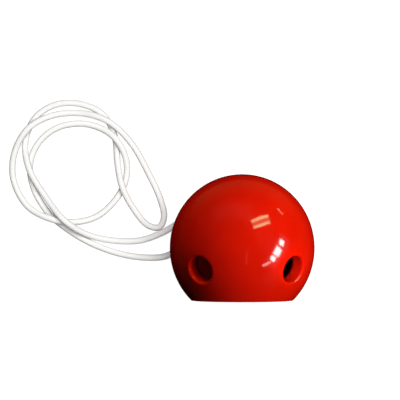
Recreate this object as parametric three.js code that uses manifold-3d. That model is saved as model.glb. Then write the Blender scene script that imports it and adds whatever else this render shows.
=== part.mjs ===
// A hollow clown nose lying on its side, with its white elastic cord laid beside it in loose loops.
// Millimetres, +Z up. The nostrils look up, the open face looks along -Y, and the table is at z = 0.
import * as THREE from "three";
import { mergeVertices } from "three/addons/utils/BufferGeometryUtils.js";
import Module from "manifold-3d";

// Ball and open face
const ballRadius = 25.4; // a two-inch ball
const wall = 5; // between the ball's surface and the hollow
const faceDistance = 18.1; // from the ball's centre to the flat open face, before the stretch
const ballStretch = 1.019; // the shell is this much longer along its axis than a true ball
const mouthRadius = 14; // the opening that goes over the wearer's nose
const outerEdgeRound = 0.4; // where the ball meets the flat face
const innerEdgeRound = 0.6; // where the mouth meets the flat face
const roll = 4.5; // degrees that the nose lies turned about its own axis

// Nostrils
const nostrilRadius = 4.65; // the straight bore, before its rounded lip
const nostrilLipRound = 0.7;
const nostrilAngle = 42.6; // degrees each side of the nose's middle plane
const nostrilDistance = 7.3; // towards the open face from the ball's centre

// Cord, its two holes and the knots that stop it inside the shell
const cordRadius = 1.15; // round elastic of about three thirty-seconds of an inch
const cordPlay = 0.3; // between the cord and its hole, and between the knot and what it meets
const cordHoleAngle = 140; // degrees each side of the nostrils' direction, so underneath
const cordHoleDistance = -1.4; // a little behind the ball's centre, seen from the open face
const cordLead = 2; // straight run of cord outside its hole
const knotRadius = 3.2;
const knotLength = 4.8;
const knotTail = 5; // the cut end that stands out of the knot

// Facets
const ballSides = 60;
const ballSteps = 22;
const hollowSteps = 15;
const roundSteps = 3;
const nostrilSides = 28;
const cordSides = 8;
const cordHoleSides = 16;
const knotSides = 12;
const cordSteps = 80;

// The cord's way over the table, as points on its middle line from the left hole to the right one.
// Each stretch is chosen by hand; a height above the lowest is where the cord lies on itself.
const outOfLeftHole = [
  [-21.6, -3.3, 3.6],
  [-24.4, -5.8, 1.9],
  [-28.6, -7.4, 1.25],
];
const firstLoop = [
  [-39.0, -7.1, 1.25],
  [-50.8, -3.8, 1.25],
  [-61.4, 1.9, 1.25],
  [-69.7, 9.0, 1.25],
  [-74.8, 18.1, 1.25],
  [-75.7, 27.0, 1.25],
  [-72.3, 34.3, 1.25],
  [-66.0, 39.1, 1.25],
  [-57.8, 40.6, 1.25],
  [-50.6, 38.9, 2.2],
  [-45.3, 35.3, 4.0],
  [-41.6, 28.8, 2.8],
  [-41.2, 21.4, 1.3],
];
const secondLoop = [
  [-44.2, 14.5, 1.3],
  [-51.5, 7.4, 1.3],
  [-59.8, 5.2, 2.9],
  [-67.2, 6.0, 4.1],
  [-76.6, 10.8, 2.1],
  [-81.8, 20.5, 1.3],
  [-81.4, 30.0, 2.4],
  [-76.3, 38.8, 4.3],
  [-68.0, 43.4, 2.1],
  [-59.0, 44.4, 1.6],
  [-51.6, 43.0, 3.2],
  [-46.0, 40.2, 4.0],
  [-39.2, 33.2, 2.2],
  [-33.6, 23.4, 1.25],
  [-29.1, 13.6, 1.25],
];
const foldAndWayBack = [
  [-27.7, 7.0, 1.25],
  [-29.5, 3.3, 1.25],
  [-33.6, 4.1, 1.25],
  [-38.8, 10.3, 2.3],
  [-42.6, 17.7, 4.0],
  [-44.4, 26.2, 1.9],
  [-45.4, 35.8, 1.25],
  [-49.6, 43.8, 1.25],
  [-57.6, 47.6, 1.25],
  [-66.6, 47.4, 1.25],
  [-74.1, 42.6, 1.25],
  [-77.5, 33.8, 1.6],
  [-76.0, 24.2, 4.3],
  [-70.2, 14.3, 3.7],
  [-63.3, 5.8, 6.7],
  [-55.4, 0.8, 3.0],
  [-46.4, -1.4, 1.4],
];
const backUnderTheBall = [
  [-36.4, -1.4, 1.7],
  [-28.6, 1.3, 3.1],
  [-20.0, 6.0, 1.4],
  [-8.0, 8.8, 1.25],
  [4.0, 8.1, 1.25],
  [14.6, 8.9, 1.25],
  [20.3, 7.0, 1.25],
  [22.0, 2.8, 1.25],
  [20.8, -1.0, 1.4],
  [18.2, -2.3, 1.9],
];

const wasm = await Module();
wasm.setup();

const radians = THREE.MathUtils.degToRad;
const ballPlace = new THREE.Vector3(
  0,
  ((faceDistance - ballRadius) * ballStretch) / 2,
  ballRadius,
);
const plastic = new THREE.MeshStandardMaterial({ color: 0xc8100a, roughness: 0.16, metalness: 0 });
const elastic = new THREE.MeshStandardMaterial({ color: 0xf4f3ef, roughness: 0.75, metalness: 0 });

// A closed geometry as a solid that can be cut.
function solidOf(geometry) {
  const bare = geometry.clone();
  bare.deleteAttribute("normal");
  bare.deleteAttribute("uv");
  const merged = mergeVertices(bare, 1e-4);
  return new wasm.Manifold(
    new wasm.Mesh({
      numProp: 3,
      vertProperties: merged.attributes.position.array,
      triVerts: new Uint32Array(merged.index.array),
    }),
  );
}

function geometryOf(solid) {
  const mesh = solid.getMesh();
  const geometry = new THREE.BufferGeometry();
  geometry.setAttribute("position", new THREE.BufferAttribute(mesh.vertProperties, 3));
  geometry.setIndex(new THREE.BufferAttribute(mesh.triVerts, 1));
  geometry.computeVertexNormals();
  return geometry;
}

// Points on an arc in a lathe's half plane, angles in degrees from the radius axis.
function arc(centreR, centreY, radius, from, to, steps) {
  return Array.from({ length: steps + 1 }, (_, i) => {
    const angle = radians(from + ((to - from) * i) / steps);
    return new THREE.Vector2(centreR + radius * Math.cos(angle), centreY + radius * Math.sin(angle));
  });
}

const degreesOf = (opposite, adjacent) => THREE.MathUtils.radToDeg(Math.atan2(opposite, adjacent));

// The nose's own frame: its axis is Y, the open face looks along -Y and the nostrils look along +Z.
function aim(angle, distance) {
  const reach = Math.sqrt(ballRadius ** 2 - distance ** 2);
  return new THREE.Vector3(
    (reach * Math.sin(radians(angle))) / ballRadius,
    -distance / ballRadius,
    (reach * Math.cos(radians(angle))) / ballRadius,
  );
}

function turnedTo(geometry, direction) {
  const up = new THREE.Vector3(0, 1, 0);
  return geometry.applyQuaternion(new THREE.Quaternion().setFromUnitVectors(up, direction));
}

// The wall of the ball, from its closed end over the outside to the face and back through the mouth.
function shellBlank() {
  const hollowRadius = ballRadius - wall;
  const outerCentreR = Math.sqrt(
    (ballRadius - outerEdgeRound) ** 2 - (faceDistance - outerEdgeRound) ** 2,
  );
  const outerStart = degreesOf(outerEdgeRound - faceDistance, outerCentreR);
  const mouthTop = -Math.sqrt(hollowRadius ** 2 - mouthRadius ** 2);
  const hollowStart = degreesOf(mouthTop, mouthRadius);
  const profile = [
    ...arc(0, 0, hollowRadius, 90, hollowStart, hollowSteps),
    ...arc(mouthRadius + innerEdgeRound, innerEdgeRound - faceDistance, innerEdgeRound, 180, 270, roundSteps),
    ...arc(outerCentreR, outerEdgeRound - faceDistance, outerEdgeRound, 270, 360 + outerStart, roundSteps),
    ...arc(0, 0, ballRadius, outerStart, 90, ballSteps).slice(1),
  ];
  profile[0].x = 0;
  profile.at(-1).x = 0;
  return new THREE.LatheGeometry(profile, ballSides);
}

// A nostril's bore, opening at the ball's surface through a rounded lip.
function nostrilCutter(direction) {
  const lipCentreR = nostrilRadius + nostrilLipRound;
  const lipCentreY = Math.sqrt((ballRadius - nostrilLipRound) ** 2 - lipCentreR ** 2);
  const lipEnd = degreesOf(lipCentreY, lipCentreR);
  const boreStart = ballRadius - 2 * wall;
  const beyond = ballRadius + wall;
  const lip = arc(lipCentreR, lipCentreY, nostrilLipRound, 180, lipEnd, roundSteps);
  const profile = [
    new THREE.Vector2(0, boreStart),
    new THREE.Vector2(nostrilRadius, boreStart),
    ...lip,
    lip.at(-1).clone().multiplyScalar(beyond / ballRadius),
    new THREE.Vector2(0, beyond),
  ];
  return turnedTo(new THREE.LatheGeometry(profile, nostrilSides), direction);
}

function cordHoleCutter(direction) {
  const bore = new THREE.CylinderGeometry(
    cordRadius + cordPlay,
    cordRadius + cordPlay,
    3 * wall,
    cordHoleSides,
  );
  bore.translate(0, ballRadius - wall / 2, 0);
  return turnedTo(bore, direction);
}

function shell() {
  let solid = solidOf(shellBlank());
  for (const side of [-1, 1]) {
    solid = solid.subtract(solidOf(nostrilCutter(aim(side * nostrilAngle, nostrilDistance))));
    solid = solid.subtract(solidOf(cordHoleCutter(aim(side * cordHoleAngle, cordHoleDistance))));
  }
  const mesh = new THREE.Mesh(geometryOf(solid.scale([1, ballStretch, 1])), plastic);
  mesh.name = "nose_shell";
  return mesh;
}

// A stopper knot just inside the hole, with the cord's cut end standing out of it.
function knot(name, direction) {
  const face = ballRadius - wall - cordPlay;
  const round = knotLength / 2;
  const middle = face - round;
  const flat = knotRadius - round;
  const profile = [
    new THREE.Vector2(0, middle - round - knotTail),
    new THREE.Vector2(cordRadius, middle - round - knotTail),
    new THREE.Vector2(cordRadius, middle - round),
    ...arc(flat, middle, round, -60, 90, 2 * roundSteps),
    new THREE.Vector2(0, face),
  ];
  const mesh = new THREE.Mesh(
    turnedTo(new THREE.LatheGeometry(profile, knotSides), direction),
    elastic,
  );
  mesh.name = name;
  return mesh;
}

// The straight run through a hole, from the knot's face to a little outside the ball.
function throughHole(direction, nose) {
  return [ballRadius - wall, ballRadius, ballRadius + cordLead].map((distance) =>
    nose.localToWorld(direction.clone().multiplyScalar(distance)),
  );
}

function cord(leftHole, rightHole, nose) {
  const onTable = [
    ...outOfLeftHole,
    ...firstLoop,
    ...secondLoop,
    ...foldAndWayBack,
    ...backUnderTheBall,
  ].map((point) => new THREE.Vector3(...point));
  const path = new THREE.CatmullRomCurve3(
    [...throughHole(leftHole, nose), ...onTable, ...throughHole(rightHole, nose).reverse()],
    false,
    "centripetal",
  );
  const section = new THREE.Shape(
    Array.from({ length: cordSides }, (_, i) => {
      const angle = (2 * Math.PI * (i + 0.5)) / cordSides;
      return new THREE.Vector2(cordRadius * Math.cos(angle), cordRadius * Math.sin(angle));
    }),
  );
  path.arcLengthDivisions = 20 * cordSteps;
  const mesh = new THREE.Mesh(
    new THREE.ExtrudeGeometry(section, { steps: cordSteps, extrudePath: path, bevelEnabled: false }),
    elastic,
  );
  mesh.name = "elastic_cord";
  return mesh;
}

const leftHole = aim(-cordHoleAngle, cordHoleDistance);
const rightHole = aim(cordHoleAngle, cordHoleDistance);

const nose = new THREE.Group();
nose.position.copy(ballPlace);
nose.rotation.y = radians(roll);
nose.add(shell(), knot("knot_left", leftHole), knot("knot_right", rightHole));
nose.updateMatrixWorld(true);

const clownNose = new THREE.Group();
clownNose.add(nose, cord(leftHole, rightHole, nose));

export default clownNose;
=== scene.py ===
import math

import bmesh
import bpy
from mathutils import Matrix, Vector
from mathutils.geometry import delaunay_2d_cdt


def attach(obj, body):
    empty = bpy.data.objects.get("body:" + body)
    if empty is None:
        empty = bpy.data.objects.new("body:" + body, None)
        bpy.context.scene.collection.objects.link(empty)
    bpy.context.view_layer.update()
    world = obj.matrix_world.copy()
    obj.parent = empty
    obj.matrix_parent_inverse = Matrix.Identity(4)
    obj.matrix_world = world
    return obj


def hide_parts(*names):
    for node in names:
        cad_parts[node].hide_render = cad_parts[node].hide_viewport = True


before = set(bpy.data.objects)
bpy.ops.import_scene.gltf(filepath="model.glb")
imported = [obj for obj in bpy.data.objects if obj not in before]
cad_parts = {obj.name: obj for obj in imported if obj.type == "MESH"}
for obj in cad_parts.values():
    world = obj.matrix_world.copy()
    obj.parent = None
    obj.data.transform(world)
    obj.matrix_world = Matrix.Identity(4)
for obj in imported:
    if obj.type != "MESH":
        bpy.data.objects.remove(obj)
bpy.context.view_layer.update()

MM = 0.001

# Ball and open face, as in the part's source
BALL_RADIUS = 25.4 * MM
WALL = 5 * MM
FACE_DISTANCE = 18.1 * MM  # before the stretch
BALL_STRETCH = 1.019  # the shell is this much longer along its axis than a true ball
MOUTH_RADIUS = 14 * MM
OUTER_EDGE_ROUND = 0.4 * MM
INNER_EDGE_ROUND = 0.6 * MM
ROLL = math.radians(4.5)
BALL_PLACE = Vector((0, (FACE_DISTANCE - BALL_RADIUS) * BALL_STRETCH / 2, BALL_RADIUS))
NOSE_TO_MODEL = Matrix.Translation(BALL_PLACE) @ Matrix.Rotation(ROLL, 4, "Y")

# Nostrils, and the small rounds that only the visible piece has
NOSTRIL_RADIUS = 4.65 * MM
NOSTRIL_LIP_ROUND = 0.7 * MM
NOSTRIL_ANGLE = math.radians(42.6)
NOSTRIL_DISTANCE = 7.3 * MM
NOSTRIL_INNER_ROUND = 0.35 * MM
HOLLOW_EDGE_ROUND = 0.5 * MM
CORD_HOLE_ROUND = 0.25 * MM

# Cord and its holes
CORD_RADIUS = 1.15 * MM
CORD_PLAY = 0.3 * MM
CORD_HOLE_ANGLE = math.radians(140)
CORD_HOLE_DISTANCE = -1.4 * MM
CORD_LEAD = 2 * MM
KNOT_TAIL = 5 * MM

# Facets of the visible pieces
OUTSIDE_SPACING = 0.72 * MM
HOLLOW_SPACING = 1.0 * MM
RIM_SIDES = 176
NOSTRIL_SIDES = 64
CORD_HOLE_SIDES = 28
ROUND_STEPS = 5  # in each rounded edge
BORE_STEPS = 8  # down the straight of a nostril or a cord hole
RIM_STEPS = 4  # across the flat face
MOUTH_STEPS = 6  # from the flat face to the hollow
EVEN_SHARE = 0.87  # area for each corner of an even triangle grid, in squares of its spacing
CLEAR_OF_RINGS = 0.6  # spacings kept free beside the ring of an opening
MERGE_REACH = 1e-6  # closer corners become one
FLAT_TOLERANCE = 1e-8  # for the triangles of the flattened ball
CORD_SIDES = 16
CORD_RING_SPACING = 0.8 * MM
CORD_LINE_STEPS = 24  # between two points of the cord's way
KNOT_LINE_STEPS = 8  # between two points of a knot

# The cord's way over the table in millimetres, from the left hole to the right one
OUT_OF_LEFT_HOLE = [
    (-21.6, -3.3, 3.6),
    (-24.4, -5.8, 1.9),
    (-28.6, -7.4, 1.25),
]
FIRST_LOOP = [
    (-39.0, -7.1, 1.25),
    (-50.8, -3.8, 1.25),
    (-61.4, 1.9, 1.25),
    (-69.7, 9.0, 1.25),
    (-74.8, 18.1, 1.25),
    (-75.7, 27.0, 1.25),
    (-72.3, 34.3, 1.25),
    (-66.0, 39.1, 1.25),
    (-57.8, 40.6, 1.25),
    (-50.6, 38.9, 2.2),
    (-45.3, 35.3, 4.0),
    (-41.6, 28.8, 2.8),
    (-41.2, 21.4, 1.3),
]
SECOND_LOOP = [
    (-44.2, 14.5, 1.3),
    (-51.5, 7.4, 1.3),
    (-59.8, 5.2, 2.9),
    (-67.2, 6.0, 4.1),
    (-76.6, 10.8, 2.1),
    (-81.8, 20.5, 1.3),
    (-81.4, 30.0, 2.4),
    (-76.3, 38.8, 4.3),
    (-68.0, 43.4, 2.1),
    (-59.0, 44.4, 1.6),
    (-51.6, 43.0, 3.2),
    (-46.0, 40.2, 4.0),
    (-39.2, 33.2, 2.2),
    (-33.6, 23.4, 1.25),
    (-29.1, 13.6, 1.25),
]
FOLD_AND_WAY_BACK = [
    (-27.7, 7.0, 1.25),
    (-29.5, 3.3, 1.25),
    (-33.6, 4.1, 1.25),
    (-38.8, 10.3, 2.3),
    (-42.6, 17.7, 4.0),
    (-44.4, 26.2, 1.9),
    (-45.4, 35.8, 1.25),
    (-49.6, 43.8, 1.25),
    (-57.6, 47.6, 1.25),
    (-66.6, 47.4, 1.25),
    (-74.1, 42.6, 1.25),
    (-77.5, 33.8, 1.6),
    (-76.0, 24.2, 4.3),
    (-70.2, 14.3, 3.7),
    (-63.3, 5.8, 6.7),
    (-55.4, 0.8, 3.0),
    (-46.4, -1.4, 1.4),
]
BACK_UNDER_THE_BALL = [
    (-36.4, -1.4, 1.7),
    (-28.6, 1.3, 3.1),
    (-20.0, 6.0, 1.4),
    (-8.0, 8.8, 1.25),
    (4.0, 8.1, 1.25),
    (14.6, 8.9, 1.25),
    (20.3, 7.0, 1.25),
    (22.0, 2.8, 1.25),
    (20.8, -1.0, 1.4),
    (18.2, -2.3, 1.9),
]


# Camera

CAMERA_HEIGHT = 1000 * MM  # above the ball's centre
CAMERA_PLACE = Vector((-14.8 * MM, 13.1 * MM, CAMERA_HEIGHT + BALL_RADIUS))
FIELD_WIDTH = 140.35 * MM  # across the picture, at the height of the ball's centre
CLIP_NEAR = 0.01
CLIP_FAR = 10


def place_camera():
    view = bpy.data.cameras.new("camera")
    view.lens = view.sensor_width * (CAMERA_PLACE.z - BALL_RADIUS) / FIELD_WIDTH
    view.clip_start = CLIP_NEAR
    view.clip_end = CLIP_FAR
    camera = bpy.data.objects.new("camera", view)
    camera.location = CAMERA_PLACE
    bpy.context.scene.collection.objects.link(camera)
    bpy.context.scene.camera = camera


# Lines and directions

def nose_direction(angle, distance):
    """The way from the ball's centre to a place on its surface, in the nose's own frame."""
    reach = math.sqrt(BALL_RADIUS**2 - distance**2)
    away = Vector((reach * math.sin(angle), -distance, reach * math.cos(angle)))
    return away / BALL_RADIUS


def to_model(point):
    return NOSE_TO_MODEL @ point


def catmull_rom_piece(before, start, end, after, share):
    """One place on a centripetal curve from start to end, share 0 to 1 of the way."""
    gap_before = math.sqrt((start - before).length)
    gap = math.sqrt((end - start).length)
    gap_after = math.sqrt((after - end).length)
    leave = (start - before) / gap_before - (end - before) / (gap_before + gap) + (end - start) / gap
    arrive = (end - start) / gap - (after - start) / (gap + gap_after) + (after - end) / gap_after
    leave *= gap
    arrive *= gap
    square = -3 * start + 3 * end - 2 * leave - arrive
    cube = 2 * start - 2 * end + leave + arrive
    return start + leave * share + square * share**2 + cube * share**3


def smooth_line(points, steps):
    """A smooth line through the points, the same curve that the part's source draws."""
    ends = [2 * points[0] - points[1], *points, 2 * points[-1] - points[-2]]
    line = []
    for i in range(1, len(ends) - 2):
        for step in range(steps):
            line.append(catmull_rom_piece(*ends[i - 1 : i + 3], step / steps))
    line.append(points[-1].copy())
    return line


def line_length(line):
    return sum((b - a).length for a, b in zip(line, line[1:]))


def evenly_spaced(line, spacing):
    """The same line with its points an equal run apart."""
    count = round(line_length(line) / spacing)
    step = line_length(line) / count
    spaced = [line[0].copy()]
    run = 0
    for a, b in zip(line, line[1:]):
        piece = (b - a).length
        while len(spaced) * step <= run + piece and len(spaced) < count:
            spaced.append(a.lerp(b, (len(spaced) * step - run) / piece))
        run += piece
    return [*spaced, line[-1].copy()]


# Node trees

def add_node(tree, kind, inputs=None, **settings):
    """A node of that kind, with its settings, and its inputs set to values or linked to outputs."""
    node = tree.nodes.new(kind)
    for name, value in settings.items():
        setattr(node, name, value)
    for key, value in (inputs or {}).items():
        if isinstance(value, bpy.types.NodeSocket):
            tree.links.new(value, node.inputs[key])
        else:
            node.inputs[key].default_value = value
    return node


def calculate(tree, operation, *values):
    """The result of one Math node."""
    node = add_node(tree, "ShaderNodeMath", dict(enumerate(values)), operation=operation)
    return node.outputs[0]


def named_group(name, kind, inputs, outputs):
    """An empty node group with named sockets, and its input and output nodes."""
    tree = bpy.data.node_groups.new(name, kind)
    for label, socket, value in inputs:
        made = tree.interface.new_socket(label, in_out="INPUT", socket_type=socket)
        if value is not None:
            made.default_value = value
    for label, socket in outputs:
        tree.interface.new_socket(label, in_out="OUTPUT", socket_type=socket)
    return tree, tree.nodes.new("NodeGroupInput"), tree.nodes.new("NodeGroupOutput")


# Tubes of cord

def cord_tube_tree():
    """Sweeps a round section along a line, with u round the cord and v along it in circumferences."""
    tree, given, result = named_group(
        "cord_tube",
        "GeometryNodeTree",
        [
            ("Line", "NodeSocketGeometry", None),
            ("Radius", "NodeSocketFloat", CORD_RADIUS),
            ("Sides", "NodeSocketInt", CORD_SIDES),
            ("Ring spacing", "NodeSocketFloat", CORD_RING_SPACING),
            ("Material", "NodeSocketMaterial", None),
        ],
        [("Tube", "NodeSocketGeometry")],
    )
    rings = add_node(
        tree,
        "GeometryNodeResampleCurve",
        {"Curve": given.outputs["Line"], "Length": given.outputs["Ring spacing"]},
        mode="LENGTH",
    )
    corners = calculate(tree, "ADD", given.outputs["Sides"], 1)
    section = add_node(
        tree,
        "GeometryNodeCurveArc",
        {
            "Resolution": corners,
            "Radius": given.outputs["Radius"],
            "Start Angle": 0,
            "Sweep Angle": math.tau,
        },
        mode="RADIUS",
    )
    along = add_node(tree, "GeometryNodeSplineParameter")
    kept_run = add_node(
        tree,
        "GeometryNodeStoreNamedAttribute",
        {"Geometry": rings.outputs[0], "Name": "run", "Value": along.outputs["Length"]},
        data_type="FLOAT",
        domain="POINT",
    )
    kept_turn = add_node(
        tree,
        "GeometryNodeStoreNamedAttribute",
        {"Geometry": section.outputs[0], "Name": "turn", "Value": along.outputs["Factor"]},
        data_type="FLOAT",
        domain="POINT",
    )
    swept = add_node(
        tree,
        "GeometryNodeCurveToMesh",
        {"Curve": kept_run.outputs[0], "Profile Curve": kept_turn.outputs[0], "Fill Caps": False},
    )
    turn = add_node(tree, "GeometryNodeInputNamedAttribute", {"Name": "turn"}, data_type="FLOAT")
    run = add_node(tree, "GeometryNodeInputNamedAttribute", {"Name": "run"}, data_type="FLOAT")
    round_once = calculate(tree, "MULTIPLY", given.outputs["Radius"], math.tau)
    circumferences = calculate(tree, "DIVIDE", run.outputs[0], round_once)
    place = add_node(
        tree, "ShaderNodeCombineXYZ", {"X": turn.outputs[0], "Y": circumferences}
    )
    mapped = add_node(
        tree,
        "GeometryNodeStoreNamedAttribute",
        {"Geometry": swept.outputs[0], "Name": "UVMap", "Value": place.outputs[0]},
        data_type="FLOAT2",
        domain="CORNER",
    )
    closed = add_node(
        tree,
        "GeometryNodeMergeByDistance",
        {"Geometry": mapped.outputs[0], "Distance": MERGE_REACH},
    )
    smooth = add_node(tree, "GeometryNodeSetShadeSmooth", {"Geometry": closed.outputs[0]})
    real = add_node(tree, "GeometryNodeRealizeInstances", {"Geometry": smooth.outputs[0]})
    finished = add_node(
        tree,
        "GeometryNodeSetMaterial",
        {"Geometry": real.outputs[0], "Material": given.outputs["Material"]},
    )
    tree.links.new(finished.outputs[0], result.inputs["Tube"])
    return tree


def set_inputs(modifier, values):
    """Sets a Geometry Nodes modifier's inputs by their names in the tree."""
    for item in modifier.node_group.interface.items_tree:
        if item.in_out == "INPUT" and item.name in values:
            modifier[item.identifier] = values[item.name]


def close_ends(mesh):
    """Fills a tube's two open ends with cut faces."""
    work = bmesh.new()
    work.from_mesh(mesh)
    open_edges = [edge for edge in work.edges if edge.is_boundary]
    bmesh.ops.holes_fill(work, edges=open_edges, sides=0)
    bmesh.ops.recalc_face_normals(work, faces=work.faces)
    for face in work.faces:
        face.smooth = len(face.verts) == 4
    work.to_mesh(mesh)
    work.free()


def make_tube(name, line, tree, material):
    """One length of cord along the line, as a plain mesh at the origin."""
    curve = bpy.data.curves.new(name + "_line", "CURVE")
    curve.dimensions = "3D"
    spline = curve.splines.new("POLY")
    spline.points.add(len(line) - 1)
    for point, place in zip(spline.points, line):
        point.co = (*place, 1)
    guide = bpy.data.objects.new(name + "_line", curve)
    bpy.context.scene.collection.objects.link(guide)
    sweep = guide.modifiers.new("cord_tube", "NODES")
    sweep.node_group = tree
    set_inputs(sweep, {"Material": material})
    seen = guide.evaluated_get(bpy.context.evaluated_depsgraph_get())
    mesh = bpy.data.meshes.new_from_object(seen)
    bpy.data.objects.remove(guide)
    close_ends(mesh)
    piece = bpy.data.objects.new(name, mesh)
    bpy.context.scene.collection.objects.link(piece)
    return piece


# Cord and knots

def hole_axes():
    return [
        nose_direction(-CORD_HOLE_ANGLE, CORD_HOLE_DISTANCE),
        nose_direction(CORD_HOLE_ANGLE, CORD_HOLE_DISTANCE),
    ]


def through_hole(axis):
    """The straight run through a hole, from inside the shell to a little outside it."""
    return [
        to_model(axis * distance)
        for distance in (BALL_RADIUS - WALL, BALL_RADIUS, BALL_RADIUS + CORD_LEAD)
    ]


def cord_line():
    table = [
        *OUT_OF_LEFT_HOLE,
        *FIRST_LOOP,
        *SECOND_LOOP,
        *FOLD_AND_WAY_BACK,
        *BACK_UNDER_THE_BALL,
    ]
    left, right = hole_axes()
    points = [
        *through_hole(left),
        *[Vector(point) * MM for point in table],
        *reversed(through_hole(right)),
    ]
    return evenly_spaced(smooth_line(points, CORD_LINE_STEPS), CORD_RING_SPACING)


# An overhand knot as one formula, in cord diameters, for a run from -KNOT_REACH to KNOT_REACH
KNOT_REACH = 1.9
KNOT_STEPS = 36
KNOT_WIDTH = 0.783
KNOT_DEPTH = 0.249
KNOT_CROSSING = 0.0929
KNOT_CROSSING_TURN = 5.35
KNOT_MIDDLE = 15.3 * MM  # from the ball's centre
KNOT_RUN_IN = (1.8 * MM, 0.7 * MM)  # the first two points, this far up the hole
KNOT_TAIL_SHARES = (0.4, 0.7, 1)  # where the cut tail's points lie along it
KNOT_TAIL_DROOP = 0.3  # how much the tail's end turns down


def knot_place(run):
    """A place on the knot: inwards along its hole, away from the open face, and across both."""
    wide = KNOT_WIDTH * (run**3 - 3 * run)
    deep = KNOT_DEPTH * (run**4 - 4 * run**2)
    crossing = KNOT_CROSSING * (run**5 - KNOT_CROSSING_TURN * run)
    return Vector(((wide + crossing), (crossing - wide), deep * math.sqrt(2))) / math.sqrt(2)


def knot_line(axis):
    """From inside the hole through an overhand knot to its cut tail, which droops a little."""
    side = (Vector((0, 1, 0)) - axis * axis.y).normalized()
    across = side.cross(axis)
    entry = knot_place(-KNOT_REACH)
    points = [axis * (BALL_RADIUS - WALL + depth) for depth in KNOT_RUN_IN]
    for step in range(KNOT_STEPS + 1):
        place = knot_place(KNOT_REACH * (2 * step / KNOT_STEPS - 1))
        place.y -= entry.y
        place.z -= entry.z
        place *= 2 * CORD_RADIUS
        points.append(axis * (KNOT_MIDDLE - place.x) + side * place.y + across * place.z)
    knot_end = points[-1]
    onward = (knot_end - points[-2]).normalized()
    down = Vector((0, 0, -1))
    for share in KNOT_TAIL_SHARES:
        way = (onward + down * KNOT_TAIL_DROOP * share).normalized()
        points.append(knot_end + way * KNOT_TAIL * share)
    return smooth_line([to_model(point) for point in points], KNOT_LINE_STEPS)


# Red shell

def arc(centre_r, centre_h, radius, start, end, steps=ROUND_STEPS):
    """Distance from an axis and height along it of points on an arc, its angles in degrees."""
    points = []
    for step in range(steps + 1):
        angle = math.radians(start + (end - start) * step / steps)
        points.append((centre_r + radius * math.cos(angle), centre_h + radius * math.sin(angle)))
    return points


def outer_lip(bore, rounding):
    """The rounded edge where a round hole meets the ball's outside."""
    centre_r = bore + rounding
    centre_h = math.sqrt((BALL_RADIUS - rounding) ** 2 - centre_r**2)
    start = math.degrees(math.atan2(centre_h, centre_r))
    return arc(centre_r, centre_h, rounding, start, 180)


def inner_lip(bore, rounding):
    """The rounded edge where a round hole meets the hollow."""
    centre_r = bore + rounding
    centre_h = math.sqrt((BALL_RADIUS - WALL + rounding) ** 2 - centre_r**2)
    end = 180 + math.degrees(math.atan2(centre_h, centre_r))
    return arc(centre_r, centre_h, rounding, 180, end)


def straight(start, end, pieces):
    """The places between two profile points, without the ends."""
    shares = [step / pieces for step in range(1, pieces)]
    return [(start[0] + (end[0] - start[0]) * s, start[1] + (end[1] - start[1]) * s) for s in shares]


def hole_profile(bore, outer_round, inner_round):
    outside = outer_lip(bore, outer_round)
    inside = inner_lip(bore, inner_round)
    return [*outside, *straight(outside[-1], inside[0], BORE_STEPS), *inside]


def mouth_profile():
    """From the ball's outside over its flat face and back through the mouth to the hollow."""
    centre_h = FACE_DISTANCE - OUTER_EDGE_ROUND
    centre_r = math.sqrt((BALL_RADIUS - OUTER_EDGE_ROUND) ** 2 - centre_h**2)
    start = math.degrees(math.atan2(centre_h, centre_r))
    outside = arc(centre_r, centre_h, OUTER_EDGE_ROUND, start, 90)
    edge_r = MOUTH_RADIUS + INNER_EDGE_ROUND
    edge = arc(edge_r, FACE_DISTANCE - INNER_EDGE_ROUND, INNER_EDGE_ROUND, 90, 180)
    inside = inner_lip(MOUTH_RADIUS, HOLLOW_EDGE_ROUND)
    return [
        *outside,
        *straight(outside[-1], edge[0], RIM_STEPS),
        *edge,
        *straight(edge[-1], inside[0], MOUTH_STEPS),
        *inside,
    ]


def turned_rings(profile, axis, sides):
    """The profile turned once round the axis, as one ring of places for each of its points."""
    side = axis.orthogonal().normalized()
    across = axis.cross(side)
    rings = []
    for radius, height in profile:
        turns = [math.tau * i / sides for i in range(sides)]
        rings.append(
            [axis * height + (side * math.cos(t) + across * math.sin(t)) * radius for t in turns]
        )
    return rings


def even_places(radius, spacing):
    """Places spread evenly over a whole sphere."""
    count = round(4 * math.pi * radius**2 / (EVEN_SHARE * spacing**2))
    golden_turn = math.pi * (3 - math.sqrt(5))
    for i in range(count):
        y = 1 - (2 * i + 1) / count
        away = math.sqrt(1 - y * y)
        yield Vector((away * math.cos(golden_turn * i), y, away * math.sin(golden_turn * i))) * radius


def flattened(place):
    """A place on a sphere seen from the open face's pole, which keeps every circle a circle."""
    direction = place.normalized()
    return Vector((direction.x, direction.z)) / (1 + direction.y)


def add_strip(work, rings):
    """Faces between neighbouring rings of the same count."""
    corners = [[work.verts.new(place) for place in ring] for ring in rings]
    for ring, following in zip(corners, corners[1:]):
        for i in range(len(ring)):
            k = (i + 1) % len(ring)
            work.faces.new((ring[i], ring[k], following[k], following[i]))


def add_ball(work, radius, spacing, openings):
    """A sphere's triangles, up to a ring round each opening; openings are (axis, ring) pairs."""
    places = []
    edges = []
    for _, ring in openings:
        first = len(places)
        places += ring
        edges += [(first + i, first + (i + 1) % len(ring)) for i in range(len(ring))]
    limits = [(axis, axis.angle(ring[0])) for axis, ring in openings]
    margin = CLEAR_OF_RINGS * spacing / radius
    for place in even_places(radius, spacing):
        if all(axis.angle(place) > limit + margin for axis, limit in limits):
            places.append(place)
    flat = [flattened(place) for place in places]
    _, _, triangles, origins, _, _ = delaunay_2d_cdt(flat, edges, [], 0, FLAT_TOLERANCE)
    corners = [work.verts.new(places[origin[0]]) for origin in origins]
    for triangle in triangles:
        middle = sum((corners[i].co for i in triangle), Vector())
        if all(axis.angle(middle) > limit for axis, limit in limits):
            work.faces.new([corners[i] for i in triangle])


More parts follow.
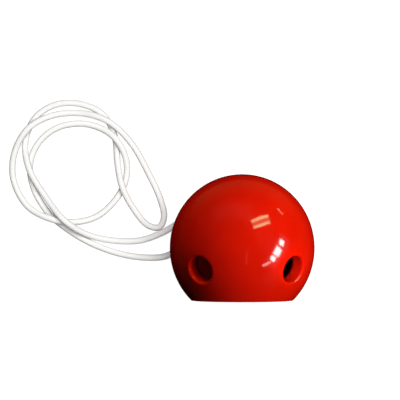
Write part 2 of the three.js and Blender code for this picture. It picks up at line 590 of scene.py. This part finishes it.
def make_shell(material):
    openings = [(Vector((0, -1, 0)), mouth_profile(), RIM_SIDES)]
    nostril = hole_profile(NOSTRIL_RADIUS, NOSTRIL_LIP_ROUND, NOSTRIL_INNER_ROUND)
    cord_hole = hole_profile(CORD_RADIUS + CORD_PLAY, CORD_HOLE_ROUND, CORD_HOLE_ROUND)
    for side in (-1, 1):
        axis = nose_direction(side * NOSTRIL_ANGLE, NOSTRIL_DISTANCE)
        openings.append((axis, nostril, NOSTRIL_SIDES))
    for axis in hole_axes():
        openings.append((axis, cord_hole, CORD_HOLE_SIDES))
    work = bmesh.new()
    outside = []
    inside = []
    for axis, profile, sides in openings:
        rings = turned_rings(profile, axis, sides)
        add_strip(work, rings)
        outside.append((axis, rings[0]))
        inside.append((axis, rings[-1]))
    add_ball(work, BALL_RADIUS, OUTSIDE_SPACING, outside)
    add_ball(work, BALL_RADIUS - WALL, HOLLOW_SPACING, inside)
    bmesh.ops.remove_doubles(work, verts=work.verts, dist=MERGE_REACH)
    bmesh.ops.recalc_face_normals(work, faces=work.faces)
    for face in work.faces:
        face.smooth = True
    mesh = bpy.data.meshes.new("red_nose")
    work.to_mesh(mesh)
    work.free()
    mesh.transform(NOSE_TO_MODEL @ Matrix.Diagonal((1, BALL_STRETCH, 1, 1)))
    mesh.materials.append(material)
    piece = bpy.data.objects.new("red_nose", mesh)
    bpy.context.scene.collection.objects.link(piece)
    return piece


# Materials

def unevenness_group():
    """A soft mottle that both finishes share, from -1 to 1 round a middle of 0."""
    tree, given, result = named_group(
        "unevenness",
        "ShaderNodeTree",
        [("Vector", "NodeSocketVector", None), ("Patch size", "NodeSocketFloat", 4 * MM)],
        [("Value", "NodeSocketFloat")],
    )
    scale = calculate(tree, "DIVIDE", 1, given.outputs["Patch size"])
    noise = add_node(
        tree,
        "ShaderNodeTexNoise",
        {"Vector": given.outputs["Vector"], "Scale": scale, "Detail": 3, "Roughness": 0.55},
    )
    value = calculate(tree, "MULTIPLY_ADD", noise.outputs["Fac"], 2, -1)
    tree.links.new(value, result.inputs["Value"])
    return tree


STRAND_FLATNESS = 0.5  # the power that rounds a strand's section; lower is flatter on top
STRAND_DIP = 0.4  # how much lower a strand lies where it goes under


def braid_group():
    """Two families of strands crossing over and under each other, from u and v in circumferences."""
    tree, given, result = named_group(
        "round_braid",
        "ShaderNodeTree",
        [
            ("Vector", "NodeSocketVector", None),
            ("Strands each way", "NodeSocketFloat", 12),
            ("Crossings along", "NodeSocketFloat", 9),
        ],
        [("Height", "NodeSocketFloat"), ("Groove", "NodeSocketFloat")],
    )
    place = add_node(tree, "ShaderNodeSeparateXYZ", {"Vector": given.outputs["Vector"]})
    turn = calculate(tree, "MULTIPLY", place.outputs["X"], given.outputs["Strands each way"])
    run = calculate(tree, "MULTIPLY", place.outputs["Y"], given.outputs["Crossings along"])
    rising = calculate(tree, "ADD", turn, run)
    falling = calculate(tree, "SUBTRACT", turn, run)
    rounds = []
    for way in (rising, falling):
        half_turn = calculate(tree, "MULTIPLY", calculate(tree, "FRACT", way), math.pi)
        rounds.append(calculate(tree, "SINE", half_turn))
    cells = calculate(
        tree, "ADD", calculate(tree, "FLOOR", rising), calculate(tree, "FLOOR", falling)
    )
    on_top = calculate(tree, "PINGPONG", cells, 1)
    mixed = []
    for first, second in (rounds, reversed(rounds)):
        blend = add_node(tree, "ShaderNodeMix", {0: on_top, 2: first, 3: second})
        mixed.append(blend.outputs[0])
    across = calculate(tree, "POWER", mixed[0], STRAND_FLATNESS)
    along = calculate(tree, "MULTIPLY_ADD", mixed[1], STRAND_DIP, 1 - STRAND_DIP)
    height = calculate(tree, "MULTIPLY", across, along)
    groove = calculate(tree, "SUBTRACT", 1, height)
    tree.links.new(height, result.inputs["Height"])
    tree.links.new(groove, result.inputs["Groove"])
    return tree


def new_material(name):
    material = bpy.data.materials.new(name)
    material.use_nodes = True
    tree = material.node_tree
    tree.nodes.clear()
    surface = tree.nodes.new("ShaderNodeBsdfPrincipled")
    output = tree.nodes.new("ShaderNodeOutputMaterial")
    tree.links.new(surface.outputs[0], output.inputs["Surface"])
    return material, tree, surface


def place_group(tree, group, inputs):
    return add_node(tree, "ShaderNodeGroup", inputs, node_tree=group)


def ramp_between(tree, value, low, high, start, end):
    """A value eased from start to end as another goes from low to high."""
    node = add_node(
        tree,
        "ShaderNodeMapRange",
        {"Value": value, "From Min": low, "From Max": high, "To Min": start, "To Max": end},
        interpolation_type="SMOOTHSTEP",
    )
    return node.outputs[0]


def mix_colours(tree, share, first, second):
    """A colour between two, which are red, green and blue values or another node's colour."""
    node = add_node(tree, "ShaderNodeMix", data_type="RGBA")
    tree.links.new(share, node.inputs["Factor"])
    for place, colour in ((6, first), (7, second)):
        if isinstance(colour, bpy.types.NodeSocket):
            tree.links.new(colour, node.inputs[place])
        else:
            node.inputs[place].default_value = (*colour, 1)
    return node.outputs[2]


# Red plastic: linear colours
RED = (0.56, 0.0062, 0.0006)
DEEP_RED = (0.52, 0.0050, 0.0004)
# Painted shade: the hollow's red is far darker than the outside's, standing for the shade inside the
# ball
HOLLOW_SHADE_RED = (0.1, 0.001, 0.0003)
# The parting line that the mould leaves: a fine raised line
SEAM_PLACE = -0.86 * MM  # from the middle plane
SEAM_HALF_WIDTH = 0.05 * MM
SEAM_HEIGHT = 0.0155 * MM
# Soft patches in the red and its gloss, and a faint ripple in the surface
MOTTLE_SIZE = 9 * MM
MOTTLE_RANGE = (-0.5, 0.5)  # from one red to the other
RIPPLE_SIZE = 5 * MM
RIPPLE_HEIGHT = 0.006 * MM
# From the dull hollow, where the red is painted darker as shade, to the glossy outside
UNSHADED_GLOSS_STARTS = 0.2 * MM  # out from the hollow's surface
UNSHADED_GLOSS_REACHED = 1 * MM
HOLLOW_ROUGHNESS = 0.38
OUTSIDE_ROUGHNESS = 0.09
PATCH_ROUGHNESS = 0.03  # more or less, from patch to patch
PLASTIC_IOR = 1.5


def red_plastic(unevenness):
    """Glossy outside, duller in the hollow and painted darker there as shade, with the mould's
    parting line round the middle.
    """
    material, tree, surface = new_material("red_plastic")
    place = add_node(tree, "ShaderNodeTexCoord").outputs["Object"]
    on_nose = add_node(
        tree,
        "ShaderNodeMapping",
        {
            "Vector": place,
            "Location": BALL_PLACE,
            "Rotation": (0, ROLL, 0),
            "Scale": (1, BALL_STRETCH, 1),
        },
        vector_type="TEXTURE",
    ).outputs[0]
    from_centre = add_node(
        tree, "ShaderNodeVectorMath", {0: on_nose}, operation="LENGTH"
    ).outputs["Value"]
    patches = place_group(
        tree, unevenness, {"Vector": on_nose, "Patch size": MOTTLE_SIZE}
    ).outputs[0]
    mottle = mix_colours(tree, ramp_between(tree, patches, *MOTTLE_RANGE, 0, 1), RED, DEEP_RED)
    hollow_radius = BALL_RADIUS - WALL
    # Out of the hollow: where its painted shade and its dull finish give way to the glossy red
    outside = ramp_between(
        tree, from_centre, hollow_radius + UNSHADED_GLOSS_STARTS, hollow_radius + UNSHADED_GLOSS_REACHED, 0, 1
    )
    # Painted shade: the hollow takes the darker red, the outside the mottled red
    colour = mix_colours(tree, outside, HOLLOW_SHADE_RED, mottle)
    tree.links.new(colour, surface.inputs["Base Color"])
    shine = ramp_between(tree, outside, 0, 1, HOLLOW_ROUGHNESS, OUTSIDE_ROUGHNESS)
    roughness = calculate(tree, "MULTIPLY_ADD", patches, PATCH_ROUGHNESS, shine)
    tree.links.new(roughness, surface.inputs["Roughness"])
    ripple = place_group(
        tree, unevenness, {"Vector": on_nose, "Patch size": RIPPLE_SIZE}
    ).outputs[0]
    ripple_bump = add_node(
        tree, "ShaderNodeBump", {"Height": ripple, "Strength": 1, "Distance": RIPPLE_HEIGHT}
    )
    side = add_node(tree, "ShaderNodeSeparateXYZ", {"Vector": on_nose}).outputs["X"]
    from_seam = calculate(tree, "ABSOLUTE", calculate(tree, "SUBTRACT", side, SEAM_PLACE))
    seam = ramp_between(tree, from_seam, 0, SEAM_HALF_WIDTH, 1, 0)
    seam_bump = add_node(
        tree,
        "ShaderNodeBump",
        {"Height": seam, "Strength": 1, "Distance": SEAM_HEIGHT, "Normal": ripple_bump.outputs[0]},
    )
    tree.links.new(seam_bump.outputs[0], surface.inputs["Normal"])
    surface.inputs["IOR"].default_value = PLASTIC_IOR
    return material


# White elastic: linear colours
ELASTIC_WHITE = (0.89, 0.885, 0.865)
# Painted shade: a greyer white for the braid's grooves
ELASTIC_GROOVE_SHADE = (0.84, 0.83, 0.81)
BRAID_HEIGHT = 0.05 * MM
GROOVE_RANGE = (0.1, 0.9)  # of the braid's depth, from the white to the painted groove shade
FUZZ_SIZE = 0.25 * MM
FUZZ_HEIGHT = 0.01 * MM
FUZZ_SHADE = 0.15
ELASTIC_ROUGHNESS = 0.78
ELASTIC_SHEEN = 0.05
ELASTIC_SHEEN_ROUGHNESS = 0.5


def white_elastic(unevenness, braid):
    """Finely braided thread over the rubber, with a soft sheen and painted shade in the braid's
    grooves.
    """
    material, tree, surface = new_material("white_elastic")
    wrapped = add_node(tree, "ShaderNodeUVMap", uv_map="UVMap").outputs[0]
    place = add_node(tree, "ShaderNodeTexCoord").outputs["Object"]
    strands = place_group(tree, braid, {"Vector": wrapped})
    fuzz = place_group(tree, unevenness, {"Vector": place, "Patch size": FUZZ_SIZE}).outputs[0]
    # Painted shade in the braid's grooves, mixed with a random fuzz mottle
    shade = calculate(tree, "MULTIPLY_ADD", fuzz, FUZZ_SHADE, strands.outputs["Groove"])
    shade_share = ramp_between(tree, shade, *GROOVE_RANGE, 0, 1)
    colour = mix_colours(tree, shade_share, ELASTIC_WHITE, ELASTIC_GROOVE_SHADE)
    tree.links.new(colour, surface.inputs["Base Color"])
    braid_bump = add_node(
        tree,
        "ShaderNodeBump",
        {"Height": strands.outputs["Height"], "Strength": 1, "Distance": BRAID_HEIGHT},
    )
    fuzz_bump = add_node(
        tree,
        "ShaderNodeBump",
        {"Height": fuzz, "Strength": 1, "Distance": FUZZ_HEIGHT, "Normal": braid_bump.outputs[0]},
    )
    tree.links.new(fuzz_bump.outputs[0], surface.inputs["Normal"])
    surface.inputs["Roughness"].default_value = ELASTIC_ROUGHNESS
    surface.inputs["Sheen Weight"].default_value = ELASTIC_SHEEN
    surface.inputs["Sheen Roughness"].default_value = ELASTIC_SHEEN_ROUGHNESS
    return material


# Floor and light

FLOOR_SIZE = 12
FLOOR_GLOW = 0.85  # keeps the shadows on the table faint
FLOOR_PAINT = 0.42
# What the table shines back at the nose: little nearby and in front, more behind it past its shade
DARK_GROUND = 0.01
LIT_GROUND = 0.085
FAR_GROUND = 0.5  # share of that light a long way off
GROUND_TINT = (1, 0.85, 0.33)
NOSE_SHADE_REACH = (56 * MM, 70 * MM)  # from the ball, where its shade starts to fade and is gone
GROUND_FALL = (80 * MM, 300 * MM)  # from the ball, where the light starts to fall and is lowest
BEHIND = (0.45, 0.9)  # how far towards +Y a place must lie, from not lit to fully lit


def grey(value):
    return (value, value, value, 1)


def pale_floor():
    """White to the camera, and dark to everything that it lights or that mirrors it."""
    material, tree, seen = new_material("pale_floor")
    seen.inputs["Base Color"].default_value = grey(FLOOR_PAINT)
    seen.inputs["Roughness"].default_value = 1
    seen.inputs["Specular IOR Level"].default_value = 0
    seen.inputs["Emission Color"].default_value = grey(1)
    seen.inputs["Emission Strength"].default_value = FLOOR_GLOW
    place = add_node(tree, "ShaderNodeTexCoord").outputs["Object"]
    under_nose = BALL_PLACE * Vector((1, 1, 0))
    away = add_node(
        tree, "ShaderNodeVectorMath", {0: place, 1: under_nose}, operation="SUBTRACT"
    ).outputs[0]
    distance = add_node(tree, "ShaderNodeVectorMath", {0: away}, operation="LENGTH").outputs[1]
    away_in_y = add_node(tree, "ShaderNodeSeparateXYZ", {"Vector": away}).outputs["Y"]
    towards_y = calculate(tree, "DIVIDE", away_in_y, distance)
    behind = ramp_between(tree, towards_y, *BEHIND, DARK_GROUND, LIT_GROUND)
    past_shade = ramp_between(tree, distance, *NOSE_SHADE_REACH, 0, 1)
    fall = ramp_between(tree, distance, *GROUND_FALL, 1, FAR_GROUND)
    ground = calculate(tree, "MULTIPLY", calculate(tree, "MULTIPLY", past_shade, fall), behind)
    tinted = mix_colours(tree, ground, (0, 0, 0), GROUND_TINT)
    bounced = add_node(tree, "ShaderNodeBsdfDiffuse", {"Color": tinted})
    path = add_node(tree, "ShaderNodeLightPath")
    both = add_node(
        tree,
        "ShaderNodeMixShader",
        {0: path.outputs["Is Camera Ray"], 1: bounced.outputs[0], 2: seen.outputs[0]},
    )
    output = next(node for node in tree.nodes if node.bl_idname == "ShaderNodeOutputMaterial")
    tree.links.new(both.outputs[0], output.inputs["Surface"])
    return material


def lay_floor():
    half = FLOOR_SIZE / 2
    corners = [(-half, -half, 0), (half, -half, 0), (half, half, 0), (-half, half, 0)]
    mesh = bpy.data.meshes.new("floor")
    mesh.from_pydata(corners, [], [(0, 1, 2, 3)])
    mesh.materials.append(pale_floor())
    floor = bpy.data.objects.new("floor", mesh)
    bpy.context.scene.collection.objects.link(floor)
    return floor


LIGHT_DISTANCE = 1.2  # from the ball's centre to each flat lamp
TUBE = (0.67, 1, 0.54)
DAY = (1, 1, 1)
# Lamps that show on the ball, by where their two ends shine back from it, in ball radii right of
# and above its centre, then thickness in metres, brightness and colour
SEEN_LAMPS = {
    "upper_tube": ((0.120, 0.350), (0.350, 0.425), 0.085, 9.4, TUBE),
    "lower_tube": ((0.150, 0.270), (0.372, 0.342), 0.085, 9.4, TUBE),
    "tube_glow": ((0.133, 0.312), (0.362, 0.386), 0.1, 1.7, TUBE),
    "far_lamp": ((0.483, 0.520), (0.555, 0.440), 0.065, 5, TUBE),
    "upper_window": ((0.537, 0.108), (0.518, 0.038), 0.165, 25, DAY),
    "middle_window": ((0.498, 0.008), (0.446, -0.090), 0.22, 25, DAY),
    "lower_window": ((0.424, -0.104), (0.394, -0.160), 0.18, 25, DAY),
    "window_foot": ((0.375, -0.175), (0.275, -0.222), 0.06, 10, DAY),
    "window_glow": ((0.580, 0.150), (0.370, -0.200), 0.4, 0.35, DAY),
}
# Soft lamps that don't show on it: direction, width and height in metres, and brightness
SOFT_LAMPS = {
    "soft_right": ((0.60, 0.22, 0.77), (0.64, 0.64), 5.2),
    "soft_near": ((0.72, -0.60, 0.34), (0.64, 0.64), 4.0),
    "soft_far": ((0, 0.86, 0.51), (0.64, 0.64), 4.3),
    "soft_far_left": ((-0.47, 0.81, 0.34), (0.64, 0.64), 2.2),
}
# The same for the cord and the table
TABLE_LAMPS = {
    "table_lamp": ((0.15, 0.2, 0.97), (1, 1), 6.8),
    "table_fill": ((-0.1, -0.9, 0.42), (1, 1), 0.6),
}
# The thin beam for the right nostril
NOSTRIL_SPOT_FROM = (-0.15, -0.03, 0.98)
NOSTRIL_SPOT_SHIFT = (2.2, 0.6, 0)  # millimetres from the middle of the bore to the lit place
NOSTRIL_SPOT_DISTANCE = 0.5
NOSTRIL_SPOT_RADIUS = 4.6 * MM
NOSTRIL_SPOT_SOFTNESS = 6 * MM
NOSTRIL_SPOT_POWER = 30


def shines_from(place):
    """The way from the ball to a lamp that shines back to the camera from a place on the ball."""
    across, up = place
    normal = Vector((across, up, math.sqrt(1 - across**2 - up**2)))
    return 2 * normal.z * normal - Vector((0, 0, 1))


def add_panel(name, middle, long_way, size, brightness, colour=DAY):
    """A flat lamp that faces the ball; brightness is what a mirror would show."""
    lamp = bpy.data.lights.new(name, "AREA")
    lamp.shape = "RECTANGLE"
    lamp.size, lamp.size_y = size
    lamp.color = colour
    lamp.energy = brightness * math.pi * size[0] * size[1]
    panel = bpy.data.objects.new(name, lamp)
    back = (middle - BALL_PLACE).normalized()
    along = (long_way - back * long_way.dot(back)).normalized()
    up = back.cross(along)
    panel.matrix_world = Matrix.Translation(middle) @ Matrix((along, up, back)).transposed().to_4x4()
    panel.visible_camera = False
    bpy.context.scene.collection.objects.link(panel)
    return panel


def add_seen_lamp(name, first, second, thickness, brightness, colour):
    ends = [BALL_PLACE + shines_from(place) * LIGHT_DISTANCE for place in (first, second)]
    way = ends[1] - ends[0]
    return add_panel(name, (ends[0] + ends[1]) / 2, way, (way.length, thickness), brightness, colour)


def add_soft_lamp(name, direction, size, brightness):
    direction = Vector(direction).normalized()
    level = direction.cross(Vector((0, 0, 1)))
    panel = add_panel(name, BALL_PLACE + direction * LIGHT_DISTANCE, level, size, brightness)
    panel.visible_glossy = False
    return panel


def add_nostril_spot():
    """A thin soft beam onto the right nostril's wall, which nothing else reaches."""
    target = to_model(nose_direction(NOSTRIL_ANGLE, NOSTRIL_DISTANCE) * (BALL_RADIUS - WALL / 2))
    target += Vector(NOSTRIL_SPOT_SHIFT) * MM
    lamp = bpy.data.lights.new("nostril_spot", "SPOT")
    lamp.energy = NOSTRIL_SPOT_POWER
    lamp.spot_size = 2 * math.atan(NOSTRIL_SPOT_RADIUS / NOSTRIL_SPOT_DISTANCE)
    lamp.spot_blend = 1
    lamp.shadow_soft_size = NOSTRIL_SPOT_SOFTNESS
    spot = bpy.data.objects.new("nostril_spot", lamp)
    back = Vector(NOSTRIL_SPOT_FROM).normalized()
    spot.location = target + back * NOSTRIL_SPOT_DISTANCE
    spot.rotation_euler = back.to_track_quat("Z", "Y").to_euler()
    spot.visible_glossy = False
    bpy.context.scene.collection.objects.link(spot)
    return spot


def only_lights(lamps, pieces, name):
    """Keeps the light of these lamps to these pieces."""
    lit = bpy.data.collections.new(name)
    for piece in pieces:
        lit.objects.link(piece)
    for lamp in lamps:
        lamp.light_linking.receiver_collection = lit


ROOM_GLOW = 0.01  # faint light from all round
ROOM_WHITE = 0.95  # behind the table, as the camera sees it


def light_the_room():
    world = bpy.data.worlds.new("room")
    world.use_nodes = True
    tree = world.node_tree
    path = add_node(tree, "ShaderNodeLightPath")
    glow = ramp_between(tree, path.outputs["Is Camera Ray"], 0, 1, ROOM_GLOW, ROOM_WHITE)
    tree.links.new(glow, tree.nodes["Background"].inputs["Color"])
    bpy.context.scene.world = world


def light_the_table(on_nose, on_table):
    nose_lamps = [add_seen_lamp(name, *facts) for name, facts in SEEN_LAMPS.items()]
    nose_lamps += [add_soft_lamp(name, *facts) for name, facts in SOFT_LAMPS.items()]
    nose_lamps.append(add_nostril_spot())
    only_lights(nose_lamps, on_nose, "lit_by_nose_lamps")
    table_lamps = [add_soft_lamp(name, *facts) for name, facts in TABLE_LAMPS.items()]
    only_lights(table_lamps, on_table, "lit_by_table_lamps")


# The object

place_camera()
bpy.context.scene.view_settings.view_transform = "Standard"

shared_unevenness = unevenness_group()
elastic = white_elastic(shared_unevenness, braid_group())
tube_tree = cord_tube_tree()
left_axis, right_axis = hole_axes()

knots = {}
for side, axis in (("left", left_axis), ("right", right_axis)):
    knot = make_tube("tied_knot_" + side, knot_line(axis), tube_tree, elastic)
    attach(knot, "root")
    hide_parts("knot_" + side)
    knots[side] = knot

line = cord_line()
cord = make_tube("laid_cord", line, tube_tree, elastic)
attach(cord, "root")
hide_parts("elastic_cord")

red_nose = make_shell(red_plastic(shared_unevenness))
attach(red_nose, "root")
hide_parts("nose_shell")

cord.visible_glossy = False
floor = lay_floor()
light_the_room()
light_the_table([red_nose, *knots.values()], [floor, cord])
